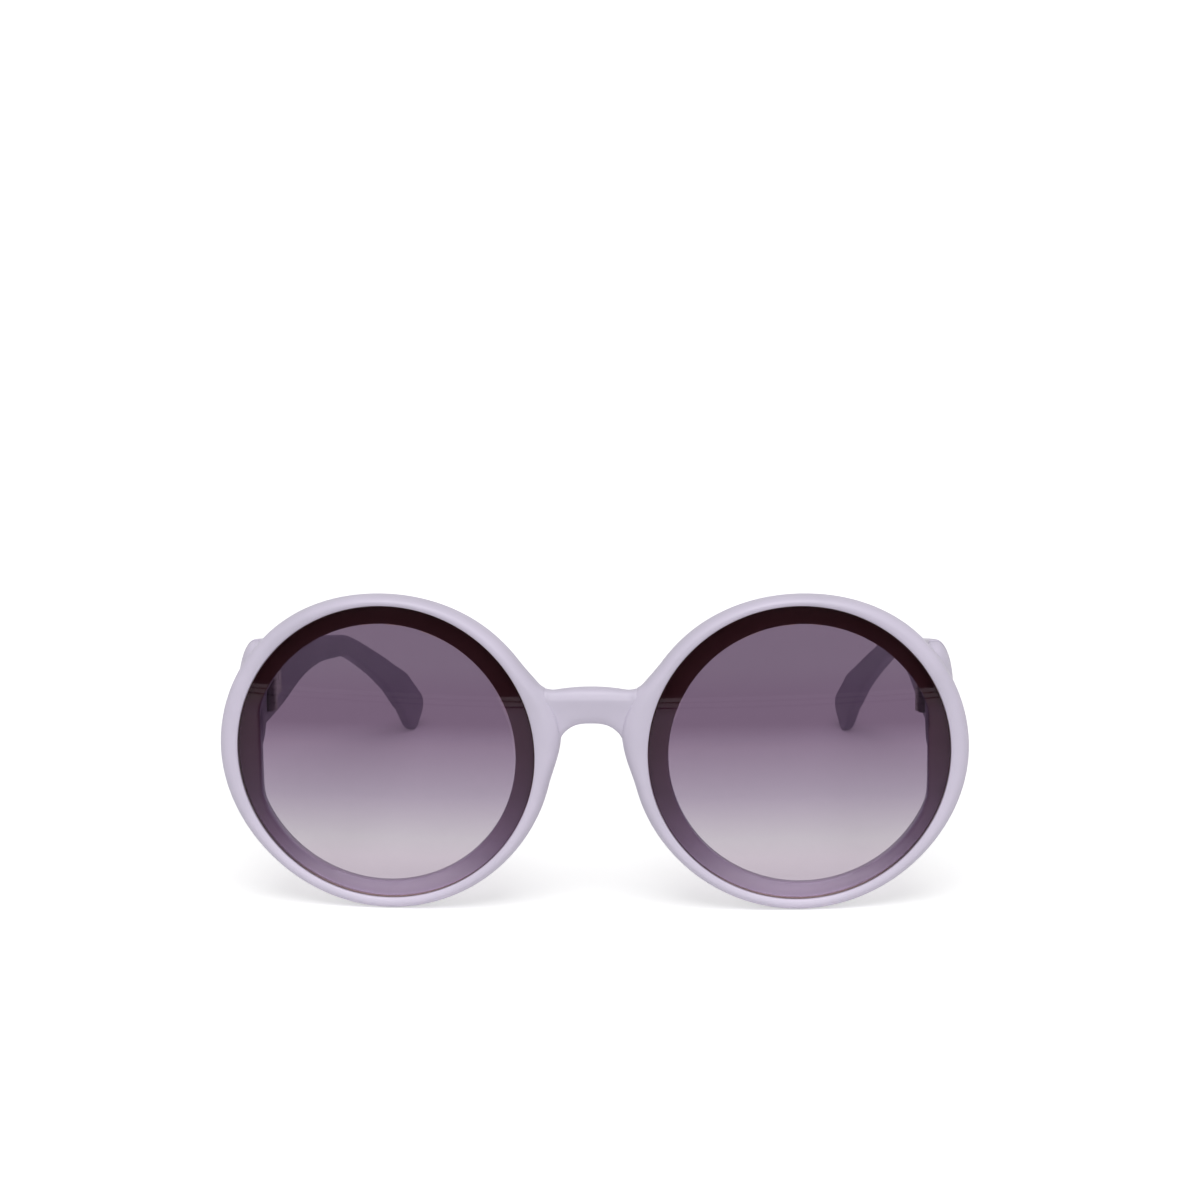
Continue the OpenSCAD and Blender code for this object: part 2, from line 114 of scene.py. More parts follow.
# Hinges, and how far their cuts overrun a face
HINGE_RISE, HINGE_H, BARREL_R, BARREL_GAP = 9.6, 7.6, 1.3, 0.3
AXIS_INSET, LEAF_T, LEAF_GAP, OVERRUN = 0.7, 1.0, 0.03, 1
AXIS_X, HINGE_Z = TEMPLE_X - TEMPLE_T * (1 - OUTER_SHARE) - AXIS_INSET, LENS_Z + HINGE_RISE
FRONT_LEAF_W, TEMPLE_LEAF_L, TEMPLE_LEAF_H = 3.9, 12.0, 6.6
PIN_END, HEAD_H = 0.4, 0.7

# How far the moulded corners run from one form into the next. The bridge's grows from the arch
# to BLEND_FULL below the top. It is broad only from TOP_START below the top, or FACE_START
# behind the face, and eases in over TOP_RUN and FACE_RUN.
BRIDGE_BLEND, ARCH_BLEND, LUG_BLEND = 2.2, 0.6, 0.7
BLEND_FULL, TOP_START, TOP_RUN, FACE_START, FACE_RUN = 2, 2.4, 1.8, 0.3, 1.5
BLEND_PASSES = 8
END_EDGE, END_RINGS = 0.35, 5

# Points along and round the surfaces, the share of a quarter turn that closes a temple's end,
# and the angles in degrees past which an edge stays crisp
RIM_STEPS, BRIDGE_STEPS, LUG_STEPS, TEMPLE_STEPS, CAP_STEPS = 288, 72, 40, 150, 14
SEAT_POINTS, LIP_POINTS, FACE_POINTS, SIDE_POINTS = 4, 12, 22, 4
HEEL_POINTS, BACK_POINTS, LEDGE_POINTS = 12, 16, 5
SECTION_POINTS, LENS_POINTS, NOTCH_POINTS = 96, 160, 64
CAP_SHARE = 0.985
CRISP, CRISP_LENS, CRISP_CUT = 40, 30, 35

# Rings of a lens, as shares of its radius and their number: closest where the ledge's edge
# shows, which the lens's mark for it clears by a margin
LENS_RINGS = ((0.004, 0.86, 26), (0.865, 0.915, 11), (0.925, 1, 6))
LEDGE_MARGIN = 0.1

BACKWARD = np.array([0.0, 1.0, 0.0])


# Shapes


def through(rows, k):
    """Rows of values read at places k, on Catmull-Rom curves: each stretch is a cubic that
    leaves a row along the line between its two neighbours."""
    last = len(rows) - 1
    i = np.clip(np.floor(k).astype(int), 0, last - 1)
    t = (k - i)[:, None]
    p, q, r, s = rows[np.maximum(i - 1, 0)], rows[i], rows[i + 1], rows[np.minimum(i + 2, last)]
    return q + t * ((r - p) + t * ((2 * p - 5 * q + 4 * r - s) + t * (3 * q - p - 3 * r + s))) / 2


def ease(t):
    """A smooth step from 0 to 1: three times the square of t less twice its cube."""
    t = np.clip(t, 0, 1)
    return t * t * (3 - 2 * t)


def hump(a, middle, span):
    """A squared cosine, 1 at middle and 0 from span degrees away."""
    d = np.abs((a - middle + 180) % 360 - 180) / span
    return np.where(d < 1, np.cos(np.pi / 2 * np.minimum(d, 1)) ** 2, 0)


def shares(count):
    """Even steps from 0, ending one step before 1."""
    return np.linspace(0, 1, count, endpoint=False)[None]


def quarter(count):
    """Even steps of a quarter turn in radians, ending one step before it."""
    return np.pi / 2 * shares(count)


def signed_power(value, power):
    """The power of a value's size, with the value's sign."""
    return np.sign(value) * np.abs(value) ** power


def rim_width(a):
    """Width of the rim at angles a, on a curve through its eight widths, plus the flare."""
    ring = np.concatenate([RIM_WIDTHS[-1:], RIM_WIDTHS, RIM_WIDTHS[:3]])[:, None]
    k = (a % 360) / (360 / len(RIM_WIDTHS))
    return through(ring, k + 1)[:, 0] + RIM_FLARE * hump(a, FLARE_ANGLE, FLARE_SPAN)


def opening_radius(a):
    """Radius of the opening: a circle a little lower and nearer the hinge than the lens, and a
    straight side, joined by the root of the sum of their high powers."""
    c, s = np.cos(np.radians(a)), np.sin(np.radians(a))
    circle = SEAT_R - LEDGE_W + OPENING_SHIFT * c - OPENING_DROP * s
    flat = SEAT_R - LEDGE_FLAT_W
    flat = flat / np.maximum(c, flat / (2 * (SEAT_R - LEDGE_W)))
    least = np.minimum(circle, flat)
    ratio = least / np.maximum(circle, flat)
    return least * (1 + ratio ** OPENING_SHARPNESS) ** (-1 / OPENING_SHARPNESS)


def rim_profile(a):
    """Section of the rim at angles a, as radius and height above the lens's edge: the seat's
    wall, two quarter ellipses that meet at the crest, a straight side, a rounded heel, a back
    that falls from the pad's height by powers, the ledge's two rounded edges and its floor."""
    w, inner = rim_width(a)[:, None], opening_radius(a)[:, None]
    outer, crest = SEAT_R + w, SEAT_R + w * CREST_SHARE
    pad = PAD_H * hump(a, PAD_ANGLE, PAD_SPAN)[:, None]
    heel = outer - RIM_EDGE - pad * PAD_SPLAY
    ones = np.ones_like(w)
    r, n = [], []

    def add(radius, height):
        """One stretch of the section, at every angle."""
        both = np.broadcast_arrays(radius * ones, height * ones)
        r.append(both[0])
        n.append(both[1])

    add(SEAT_R, SEAT_N + (LIP_N - SEAT_N) * shares(SEAT_POINTS))
    q = quarter(LIP_POINTS)
    add(crest - (crest - SEAT_R) * np.cos(q), LIP_N + (RIM_CREST - LIP_N) * np.sin(q))
    q = quarter(FACE_POINTS)
    add(crest + (outer - crest) * np.sin(q), SIDE_N + (RIM_CREST - SIDE_N) * np.cos(q))
    add(outer, SIDE_N + (BACK_N + RIM_EDGE - SIDE_N) * shares(SIDE_POINTS))
    q = quarter(HEEL_POINTS)
    add(outer - RIM_EDGE * (1 - np.cos(q)) - pad * PAD_SPLAY * np.sin(q),
        BACK_N + RIM_EDGE * (1 - np.sin(q)) - pad * np.sin(q))
    t = shares(BACK_POINTS)
    add(heel + (inner + LEDGE_EDGE - heel) * t, BACK_N - pad * (1 - t ** PAD_FALL) ** PAD_TOE)
    q = quarter(LEDGE_POINTS)
    add(inner + LEDGE_EDGE * (1 - np.sin(q)), BACK_N + LEDGE_EDGE * (1 - np.cos(q)))
    add(inner + LEDGE_EDGE * (1 - np.cos(q)), SEAT_N - LEDGE_EDGE * (1 - np.sin(q)))
    add(inner + LEDGE_EDGE + (SEAT_R - inner - LEDGE_EDGE) * shares(LEDGE_POINTS), SEAT_N)
    return np.concatenate(r, 1), np.concatenate(n, 1)


def at_lens(r, a, n):
    """Points at radius r, angle a in radians and height n of the left lens, turned by the
    wrap."""
    x, z = r * np.cos(a), r * np.sin(a)
    return np.stack([
        LENS_X + x * np.cos(WRAP) + n * np.sin(WRAP),
        LENS_Y + x * np.sin(WRAP) - n * np.cos(WRAP),
        LENS_Z + z,
    ], -1)


def lens_place(p):
    """Radius, angle in degrees and height of points round the left lens, turned back by the
    wrap."""
    dx, dy, z = p[..., 0] - LENS_X, p[..., 1] - LENS_Y, p[..., 2] - LENS_Z
    x = dx * np.cos(WRAP) + dy * np.sin(WRAP)
    n = dx * np.sin(WRAP) - dy * np.cos(WRAP)
    return np.hypot(x, z), np.degrees(np.arctan2(z, x)), n


def off_rim(p):
    """About how far points are outside the left rim: from its quarter ellipse in front, from
    its straight side, or from its back, whichever is farthest."""
    r, a, n = lens_place(p)
    w = rim_width(a.ravel()).reshape(a.shape)
    outer, crest = SEAT_R + w, SEAT_R + w * CREST_SHARE
    u, v = (r - crest) / (outer - crest), (n - SIDE_N) / (RIM_CREST - SIDE_N)
    size = np.hypot(np.maximum(u, 0), np.maximum(v, 0)) + TINY
    reach = np.hypot(np.maximum(r - crest, 0), np.maximum(n - SIDE_N, 0))
    front = reach * (1 - 1 / size)
    side = r - outer
    back = BACK_N - n
    corner = np.hypot(np.maximum(side + RIM_EDGE, 0), np.maximum(back + RIM_EDGE, 0)) - RIM_EDGE
    return np.where(v > 0, front, np.maximum(np.maximum(side, back), corner))


def off_rims(p):
    """The same for both rims: the points are taken on the left."""
    return off_rim(np.concatenate([np.abs(p[..., :1]), p[..., 1:]], -1))


def off_section(u, v, half_u, half_v, power):
    """About how far places u, v are outside a rounded square: the part past its edge of the
    line from its middle. The square is where the powers of both shares add up to 1."""
    size = (np.abs(u / half_u) ** power + np.abs(v / half_v) ** power) ** (1 / power)
    return np.hypot(u, v) * (1 - 1 / (size + TINY))


def bridge_size(x):
    """Middle and half sizes, back to front and up, of the bridge's section at x: the top and
    the depth fall with the square of x, and the arch with its cube."""
    f, g = x / BRIDGE_HALF, np.minimum(np.abs(x) / ARCH_W, 1)
    top = BRIDGE_TOP - BRIDGE_TOP_FALL * f * f
    low = BRIDGE_ARCH - ARCH_FALL * g ** 3
    depth = BRIDGE_DEPTH - BRIDGE_BACK_FALL * f * f
    return BRIDGE_SETBACK + depth / 2, depth / 2, (top + low) / 2, (top - low) / 2


def off_bridge(p):
    """About how far points are outside the bridge's section, and past its ends."""
    cy, hy, cz, hz = bridge_size(np.clip(p[..., 0], -BRIDGE_HALF, BRIDGE_HALF))
    past = np.maximum(np.abs(p[..., 0]) - BRIDGE_HALF, 0)
    return off_section(p[..., 1] - cy, p[..., 2] - cz, hy, hz, BRIDGE_ROUND) + past


def lug_size(y):
    """Middle, inner and outer halves, and half height of the left lug's section at y, on
    curves through its rows."""
    k = np.clip((y - LUG_START) / (LUG_END - LUG_START), 0, 1)
    place = np.interp(k, LUG_ROWS[:, 0], np.arange(len(LUG_ROWS)))
    row = through(LUG_ROWS, np.atleast_1d(place).ravel()).reshape(np.shape(place) + (4,))
    t = TEMPLE_T * row[..., 2]
    return (TEMPLE_X + LUG_SHIFT * row[..., 3], t * (1 - OUTER_SHARE), t * OUTER_SHARE,
            TEMPLE_Z - LUG_DROP * row[..., 3], TEMPLE_H * row[..., 1] / 2)


def off_lug(p):
    """About how far points are outside the left lug's section, whose outer side is rounder."""
    cx, inner, outer, cz, hz = lug_size(p[..., 1])
    dx = p[..., 0] - cx
    half = np.where(dx > 0, outer, inner)
    power = np.where(dx > 0, OUTER_ROUND, INNER_ROUND)
    return off_section(dx, p[..., 2] - cz, half, hz, power)


def normals(p, ring=False):
    """Unit normals of a grid of points whose rows close on themselves, away from the middles
    of the rows: the cross product of the differences along its two directions. A ring's rows
    meet end to end too."""
    if ring:
        along = np.roll(p, -1, 0) - np.roll(p, 1, 0)
    else:
        along = np.gradient(p, axis=0)
    across = np.roll(p, -1, 1) - np.roll(p, 1, 1)
    n = np.cross(across, along)
    n = n / np.maximum(np.linalg.norm(n, axis=-1, keepdims=True), TINY)
    away = (n * (p - p.mean(1, keepdims=True))).sum()
    return n if away > 0 else -n


def run_into(p, n, off, reach, share=1.0):
    """Moves points p along n so that their surface runs smoothly into another. The move is
    where a smooth minimum of both distances is 0: the square of how far the reach exceeds
    their difference, over four times the reach. Each pass goes half of the way to it."""
    d = np.zeros(p.shape[:-1])
    for _ in range(BLEND_PASSES):
        h = np.maximum(reach - np.abs(off(p + n * d[..., None]) - d), 0)
        d = 0.5 * d + 0.5 * h * h / (4 * reach)
    return p + n * (d * share)[..., None]


def bridge_reach(p):
    """Reach of the corner between bridge and rim: broad on top and behind, and tight under the
    arch and in front, with smooth steps between them."""
    t = ease((p[..., 2] - BRIDGE_ARCH) / (BRIDGE_TOP - BRIDGE_ARCH - BLEND_FULL))
    top = ease((p[..., 2] - BRIDGE_TOP + TOP_START) / TOP_RUN)
    behind = ease((p[..., 1] - BRIDGE_SETBACK - FACE_START) / FACE_RUN)
    return ARCH_BLEND + (BRIDGE_BLEND - ARCH_BLEND) * t * np.maximum(top, behind)


def soften_end(sections, end, way):
    """Adds rings that round a flat end: each is the end section drawn in and moved along, on a
    quarter circle."""
    face = sections[end]
    mid = (face.max(0) + face.min(0)) / 2
    out = face - mid
    half = np.abs(out[:, [0, 2]]).max(0)
    share = np.ones_like(out)
    rings = []
    for t in np.pi / 2 * np.arange(1, END_RINGS + 1) / END_RINGS:
        draw = END_EDGE * (1 - np.cos(t))
        share[:, 0], share[:, 2] = 1 - draw / half[0], 1 - draw / half[1]
        rings.append(mid + out * share + way * (END_EDGE * np.sin(t) - END_EDGE))
    back = face - way * END_EDGE
    if end == 0:
        return np.concatenate([np.array(rings[::-1]), back[None], sections[1:]])
    return np.concatenate([sections[:-1], back[None], np.array(rings)])


def section_ring(mid, way, height, thick):
    """Rounded sections across a path: powers of cosine and sine, with a rounder outer side and
    a flatter inner one."""
    a = np.linspace(0, 2 * np.pi, SECTION_POINTS, endpoint=False)[None]
    c, s = np.cos(a), np.sin(a)
    outer = c > TINY
    power = 2 / np.where(outer, OUTER_ROUND, INNER_ROUND)
    side = np.stack([way[:, 1], -way[:, 0], np.zeros(len(way))], -1)
    side /= np.linalg.norm(side, axis=1, keepdims=True)
    up = np.cross(side, way)
    halves = np.where(outer, OUTER_SHARE, 1 - OUTER_SHARE)
    u = signed_power(c, power) * thick[:, None] * halves
    v = signed_power(s, power) * height[:, None] / 2
    return mid[:, None] + side[:, None] * u[..., None] + up[:, None] * v[..., None]


def plain_rim():
    """The left rim by itself: its section at each angle round the lens."""
    angles = np.linspace(0, 360, RIM_STEPS, endpoint=False)
    r, n = rim_profile(angles)
    return at_lens(r, np.radians(angles)[:, None], n)


def rim_grid():
    """The left rim, run into the bridge and the lug. The seat and the ledge under the lens keep
    their shape, and so does the crest in front, by the square of how far it faces forward."""
    rim = plain_rim()
    n = normals(rim, ring=True)
    free = np.concatenate([
        np.zeros(SEAT_POINTS), np.linspace(0, 1, LIP_POINTS),
        np.ones(FACE_POINTS + SIDE_POINTS + HEEL_POINTS), np.linspace(1, 0, BACK_POINTS),
        np.zeros(3 * LEDGE_POINTS),
    ])
    free = free * (1 - np.clip(-n[..., 1], 0, 1) ** 2)
    blended = run_into(rim, n, off_bridge, bridge_reach(rim), free)
    return run_into(blended, n, off_lug, LUG_BLEND, free)


def bridge_grid():
    """The bridge: rounded-square sections across X, from powers of cosine and sine, run into
    both rims. Below its top edge the face leans back, steeply at first and upright again lower
    down, by 1 less the square of the share of the height."""
    x = np.linspace(-BRIDGE_HALF, BRIDGE_HALF, BRIDGE_STEPS + 1)[:, None]
    a = np.linspace(0, 2 * np.pi, SECTION_POINTS, endpoint=False)[None]
    cy, hy, cz, hz = bridge_size(x)
    power = 2 / BRIDGE_ROUND
    p = np.stack(np.broadcast_arrays(
        x, cy + signed_power(np.cos(a), power) * hy, cz + signed_power(np.sin(a), power) * hz,
    ), -1)
    n = normals(p)
    p = run_into(p, n, off_rims, bridge_reach(p))
    v = np.maximum(p[..., 2] - BRIDGE_ARCH, 0) / (BRIDGE_TOP - BRIDGE_BAND - BRIDGE_ARCH)
    lean = np.clip(1 - v ** 2, 0, 1) * np.clip(-n[..., 1], 0, 1)
    p[..., 1] += BRIDGE_LEAN * lean
    return p


def lug_grid():
    """The left lug: sections that carry on the temple's first one, run into the rim."""
    y = np.linspace(LUG_START, LUG_END, LUG_STEPS + 1)
    cx, inner, outer, cz, hz = lug_size(y)
    p = section_ring(np.stack([cx, y, cz], -1), np.repeat(BACKWARD[None], LUG_STEPS + 1, 0),
                     hz * 2, inner + outer)
    return soften_end(run_into(p, normals(p), off_rim, LUG_BLEND), -1, BACKWARD)


def temple_grid():
    """The left temple: its rows on smooth curves, leaning in evenly, and past a share of its
    reach curving in by a square, then a rounded end drawn in by a cosine."""
    last = len(TEMPLE_ROWS) - 2
    row = through(TEMPLE_ROWS, last * np.arange(TEMPLE_STEPS + 1) / TEMPLE_STEPS)
    row = np.concatenate([row, TEMPLE_ROWS[-1:]])
    y = TEMPLE_START + TEMPLE_REACH * row[:, 0]
    curve_y = TEMPLE_START + TEMPLE_REACH * CURVE_SHARE
    past = np.maximum(y - curve_y, 0) / (TEMPLE_START + TEMPLE_REACH - curve_y)
    x = TEMPLE_X - (y - TEMPLE_START) * np.tan(TEMPLE_LEAN) - TIP_IN * past ** 2
    mid = np.stack([x, y, TIP_Z + (TEMPLE_Z - TIP_Z) * row[:, 1]], -1)
    arm, tip = mid[:-1], mid[-1]
    way = np.concatenate([[BACKWARD], arm[2:] - arm[:-2], [arm[-1] - arm[-2]]])
    way /= np.linalg.norm(way, axis=1, keepdims=True)
    end_way = (tip - arm[-1]) / np.linalg.norm(tip - arm[-1])
    arm_rings = section_ring(arm, way, TEMPLE_H * row[:-1, 2], TEMPLE_T * row[:-1, 3])
    q = np.pi / 2 * np.linspace(0, CAP_SHARE, CAP_STEPS)
    cap_rings = section_ring(
        tip + end_way * (np.sin(q) * TIP_H / 2)[:, None], np.repeat(end_way[None], CAP_STEPS, 0),
        TIP_H * np.cos(q), TEMPLE_T * TEMPLE_ROWS[-1, 3] * np.cos(q),
    )
    return soften_end(np.concatenate([arm_rings, cap_rings]), 0, -BACKWARD)


def lens_grid():
    """A lens as a surface of revolution: front and back domes whose fall grows with the square
    of the radius, joined by a bevelled edge. Its points, radii and angles."""
    body = LENS_R - LENS_BEVEL
    s = np.concatenate([np.linspace(*band) for band in LENS_RINGS])
    fall = LENS_DOME * (1 - s ** 2)
    r = np.concatenate([body * s, [LENS_R, LENS_R], body * s[::-1]])
    n = np.concatenate([fall, [-LENS_BEVEL, LENS_BEVEL - LENS_T], fall[::-1] - LENS_T])
    a = np.linspace(0, 360, LENS_POINTS, endpoint=False)[None]
    r, a, n = np.broadcast_arrays(r[:, None], a, n[:, None])
    return at_lens(r, np.radians(a), n), r, a


# Meshes


def mirrored(p):
    """Points on the other side of X = 0."""
    return p * np.array([-1.0, 1.0, 1.0])


def grid_mesh(p, ring=False):
    """Vertices and faces of a grid of points. Its rows close on themselves. A ring's last row
    meets its first, and otherwise each end closes on its own middle."""
    rows, cols = p.shape[:2]
    verts = p.reshape(-1, 3)
    i = np.arange(rows if ring else rows - 1)[:, None] * cols
    j = np.arange(cols)[None]
    i2, j2 = (i + cols) % (rows * cols), (j + 1) % cols
    quads = np.stack(np.broadcast_arrays(i + j, i2 + j, i2 + j2, i + j2), -1).reshape(-1, 4)
    tris = np.empty((0, 3), int)
    if not ring:
        j = np.arange(cols)
        k = (j + 1) % cols
        first, last = len(verts), len(verts) + 1
        verts = np.concatenate([verts, p[0].mean(0)[None], p[-1].mean(0)[None]])
        base = (rows - 1) * cols
        tris = np.concatenate([
            np.stack([np.full(cols, first), j, k], -1),
            np.stack([np.full(cols, last), base + k, base + j], -1),
        ])
    return verts, quads, tris


def add_object(name, data):
    """A new object of the scene."""
    made = bpy.data.objects.new(name, data)
    bpy.context.scene.collection.objects.link(made)
    return made


def shade_smooth(mesh, crisp):
    """Shades a mesh smoothly. Edges sharper than the angle stay crisp."""
    mesh.polygons.foreach_set("use_smooth", np.ones(len(mesh.polygons), bool))
    mesh.set_sharp_from_angle(angle=np.radians(crisp))


def make_piece(name, parts, crisp=CRISP):
    """One object from several closed surfaces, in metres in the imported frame. Faces are turned
    to point outwards: the sum of their corners' triple products is six times the volume."""
    verts, faces, start = [], [], 0
    for v, quads, tris in parts:
        volume = sum(
            np.einsum("ij,ij->i", v[f[:, 0]], np.cross(v[f[:, k]], v[f[:, k + 1]])).sum()
            for f in (quads, tris) if len(f) for k in range(1, f.shape[1] - 1)
        )
        if volume < 0:
            quads, tris = quads[:, ::-1], tris[:, ::-1]
        verts.append(v)
        faces += (quads + start).tolist() + (tris + start).tolist()
        start += len(v)
    v = np.concatenate(verts)
    v = np.c_[v[:, 0], v[:, 1] - MID_Y, np.maximum(v[:, 2], 0)] * MM
    mesh = bpy.data.meshes.new(name)
    mesh.from_pydata(v, [], faces)
    shade_smooth(mesh, crisp)
    mesh.update()
    return add_object(name, mesh)


def mark(piece, name, values):
    """Writes one value per vertex as an attribute that a finish can read."""
    written = piece.data.attributes.new(name, "FLOAT", "POINT")
    written.data.foreach_set("value", np.asarray(values, np.float32).ravel())


def cut_away(piece, cutters):
    """Takes the cutters out of a piece, then removes them."""
    for cutter in cutters:
        cut = piece.modifiers.new("cut", "BOOLEAN")
        cut.operation, cut.solver, cut.object = "DIFFERENCE", "EXACT", cutter
    bpy.context.view_layer.update()
    evaluated = piece.evaluated_get(bpy.context.evaluated_depsgraph_get())
    done = bpy.data.meshes.new_from_object(evaluated)
    piece.modifiers.clear()
    piece.data = done
    shade_smooth(done, CRISP_CUT)
    for cutter in cutters:
        bpy.data.objects.remove(cutter)


def twin(piece, name):
    """The same piece on the other side of X = 0."""
    mesh = piece.data.copy()
    mesh.name = name
    mesh.transform(Matrix.Diagonal((-1, 1, 1, 1)))
    mesh.flip_normals()
    return add_object(name, mesh)


def box_cutter(low, high, turn):
    """A box from low to high in the right hinge's frame, turned about its axis by radians."""
    c = np.stack(np.meshgrid(*zip(low, high), indexing="ij"), -1).reshape(-1, 3)
    x = c[:, 0] * np.cos(turn) - c[:, 1] * np.sin(turn)
    y = c[:, 0] * np.sin(turn) + c[:, 1] * np.cos(turn)
    v = np.c_[AXIS_X + x, JOINT_Y + y, c[:, 2]]
    quads = np.array([
        [0, 1, 3, 2], [4, 6, 7, 5], [0, 4, 5, 1], [2, 3, 7, 6], [0, 2, 6, 4], [1, 5, 7, 3],
    ])
    return make_piece("cutter", [(mirrored(v), quads, np.empty((0, 3), int))])


def notch_cutter():
    """The round notch for the right hinge's barrel, about its axis."""
    a = np.linspace(0, 2 * np.pi, NOTCH_POINTS, endpoint=False)
    r = BARREL_R + BARREL_GAP
    low = HINGE_Z - HINGE_H / 2 - PIN_END - BARREL_GAP
    high = HINGE_Z + HINGE_H / 2 + HEAD_H + BARREL_GAP
    x, y = AXIS_X + r * np.cos(a), JOINT_Y + r * np.sin(a)
    p = np.stack([np.c_[x, y, np.full(NOTCH_POINTS, z)] for z in (low, high)])
    return make_piece("cutter", [grid_mesh(mirrored(p))])


# Pieces

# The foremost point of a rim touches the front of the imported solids' box.
MID_Y = plain_rim()[..., 1].min() - cad_box[0][1] / MM

rim = rim_grid()
front = make_piece("moulded_front", [
    grid_mesh(rim, ring=True), grid_mesh(mirrored(rim), ring=True), grid_mesh(bridge_grid()),
])
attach(front, "front")
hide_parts("front_frame")

lug_right = make_piece("lug_right", [grid_mesh(mirrored(lug_grid()))])
cut_away(lug_right, [
    box_cutter((0, -JOINT_GAP / 2 - LEAF_T, HINGE_Z - HINGE_H / 2 - LEAF_GAP),
               (AXIS_INSET + FRONT_LEAF_W + LEAF_GAP, OVERRUN,
                HINGE_Z + HINGE_H / 2 + LEAF_GAP), 0),
    notch_cutter(),
])
temple_right = make_piece("moulded_temple_right", [grid_mesh(mirrored(temple_grid()))])
cut_away(temple_right, [
    box_cutter((-OVERRUN, -OVERRUN, HINGE_Z - TEMPLE_LEAF_H / 2 - LEAF_GAP),
               (AXIS_INSET + LEAF_T, JOINT_GAP + TEMPLE_LEAF_L + LEAF_GAP,
                HINGE_Z + TEMPLE_LEAF_H / 2 + LEAF_GAP), TEMPLE_LEAN),
    notch_cutter(),
])
lug_left, temple_left = twin(lug_right, "lug_left"), twin(temple_right, "moulded_temple_left")
plastic_pieces = [front]
for side, lug, temple in (("right", lug_right, temple_right), ("left", lug_left, temple_left)):
    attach(lug, "front")
    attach(temple, f"{side}_arm")
    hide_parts(f"temple_{side}")
    plastic_pieces += [lug, temple]

# Each lens carries marks for its finish. The two values added to each mark belong to the middle
# points of the front face and of the rear face.
p, r, a = lens_grid()
rear = np.arange(len(r))[:, None] >= len(r) / 2
over = r > opening_radius(a.ravel()).reshape(a.shape) + LEDGE_MARGIN
lens_pieces = []
for side, grid in (("left", p), ("right", mirrored(p))):
    lens = make_piece(f"tinted_lens_{side}", [grid_mesh(grid)], crisp=CRISP_LENS)
    mark(lens, "cut_edge", np.append(np.isclose(r, LENS_R) & ~rear, [0, 0]))
    mark(lens, "over_ledge", np.append(over, [0, 0]))
    mark(lens, "rear_face", np.append(rear & (r > 0), [0, 1]))
    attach(lens, "front")
    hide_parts(f"lens_{side}")
    lens_pieces.append(lens)


# Finishes

# What one face of a lens lets through, at heights from the top down. Two faces make the tint.
FACE_TINT = [
    (50.0, (0.409, 0.347, 0.419)), (43.0, (0.395, 0.324, 0.403)),
    (38.4, (0.395, 0.324, 0.403)), (33.5, (0.486, 0.418, 0.498)),
    (23.9, (0.582, 0.533, 0.600)), (14.2, (0.732, 0.703, 0.735)),
    (10.5, (0.779, 0.737, 0.776)), (6.5, (0.795, 0.753, 0.792)),
    (4.0, (0.879, 0.842, 0.887)),
]
# The same for the rear face where it lies on the ledge. Besides the tint it carries painted
# shade, darkest at the top where the rim shades the ledge, painted light that makes it paler
# low down, and a painted reflection of the table's front edge as the step from 43 to 41.2 mm.
LEDGE_TINT_AND_PAINTED_SHADE = [
    (43.0, (0.462, 0.308, 0.269)), (41.2, (0.510, 0.298, 0.361)),
    (39.6, (0.553, 0.390, 0.438)), (38.4, (0.577, 0.422, 0.451)),
    (33.5, (0.502, 0.371, 0.409)), (23.9, (0.510, 0.423, 0.465)),
    (14.2, (0.654, 0.573, 0.645)), (10.5, (0.760, 0.712, 0.765)),
    (6.5, (0.934, 0.914, 0.934)),
]
# Share of light that a lens mirrors when seen straight on, and what the ledge behind it adds.
FACE_MIRROR, LEDGE_MIRROR = 0.006, 0.018
# Colours of a lens's ground edge at two heights: brown, with painted light low down where the
# edge shines golden, and painted shade higher up where the seat's wall shades it. And how its
# ramp reads a height in metres.
GROUND_LIT_LOW, GROUND_SHADED_HIGH, RAMP_PER_METRE = (0.34, 0.23, 0.15), (0.085, 0.052, 0.04), 15.0


class Link:
    """A socket of a node tree. Arithmetic on it adds Math nodes."""

    def __init__(self, tree, socket):
        self.tree, self.socket = tree, socket

    def node(self, kind, settings=None, inputs=None, out=0):
        """Adds a node: its settings first, then the values or links of its sockets."""
        made = self.tree.nodes.new("ShaderNode" + kind)
        for name, value in (settings or {}).items():
            if name == "stops":
                ramp = made.color_ramp.elements
                while len(ramp) < len(value):
                    ramp.new(1)
                for stop, (place, colour) in zip(ramp, value):
                    stop.position, stop.color = place, (*colour, 1)
            else:
                setattr(made, name, value)
        for name, value in (inputs or {}).items():
            socket = made.inputs[name]
            if isinstance(value, Link):
                self.tree.links.new(value.socket, socket)
            else:
                socket.default_value = value
        return Link(self.tree, made.outputs[out])

    def maths(self, operation, a, b):
        """One Math node of an operation on two values."""
        return self.node("Math", {"operation": operation}, {0: a, 1: b})

    def __add__(self, other):
        return self.maths("ADD", self, other)

    def __radd__(self, other):
        return self.maths("ADD", other, self)

    def __sub__(self, other):
        return self.maths("SUBTRACT", self, other)

    def __rsub__(self, other):
        return self.maths("SUBTRACT", other, self)

    def __mul__(self, other):
        return self.maths("MULTIPLY", self, other)

    def __rmul__(self, other):
        return self.maths("MULTIPLY", other, self)

    def __pow__(self, other):
        return self.maths("POWER", self, other)


def linear(code):
    """A colour written as six hexadecimal digits, in linear light, by the sRGB curve: a straight
    foot, then a power of 2.4."""
    c = np.array([int(code[i:i + 2], 16) for i in (0, 2, 4)]) / 255
    return np.where(c <= 0.04045, c / 12.92, ((c + 0.055) / 1.055) ** 2.4)


def grey(level):
    """A colour socket's value for one level of grey."""
    return (level, level, level, 1)


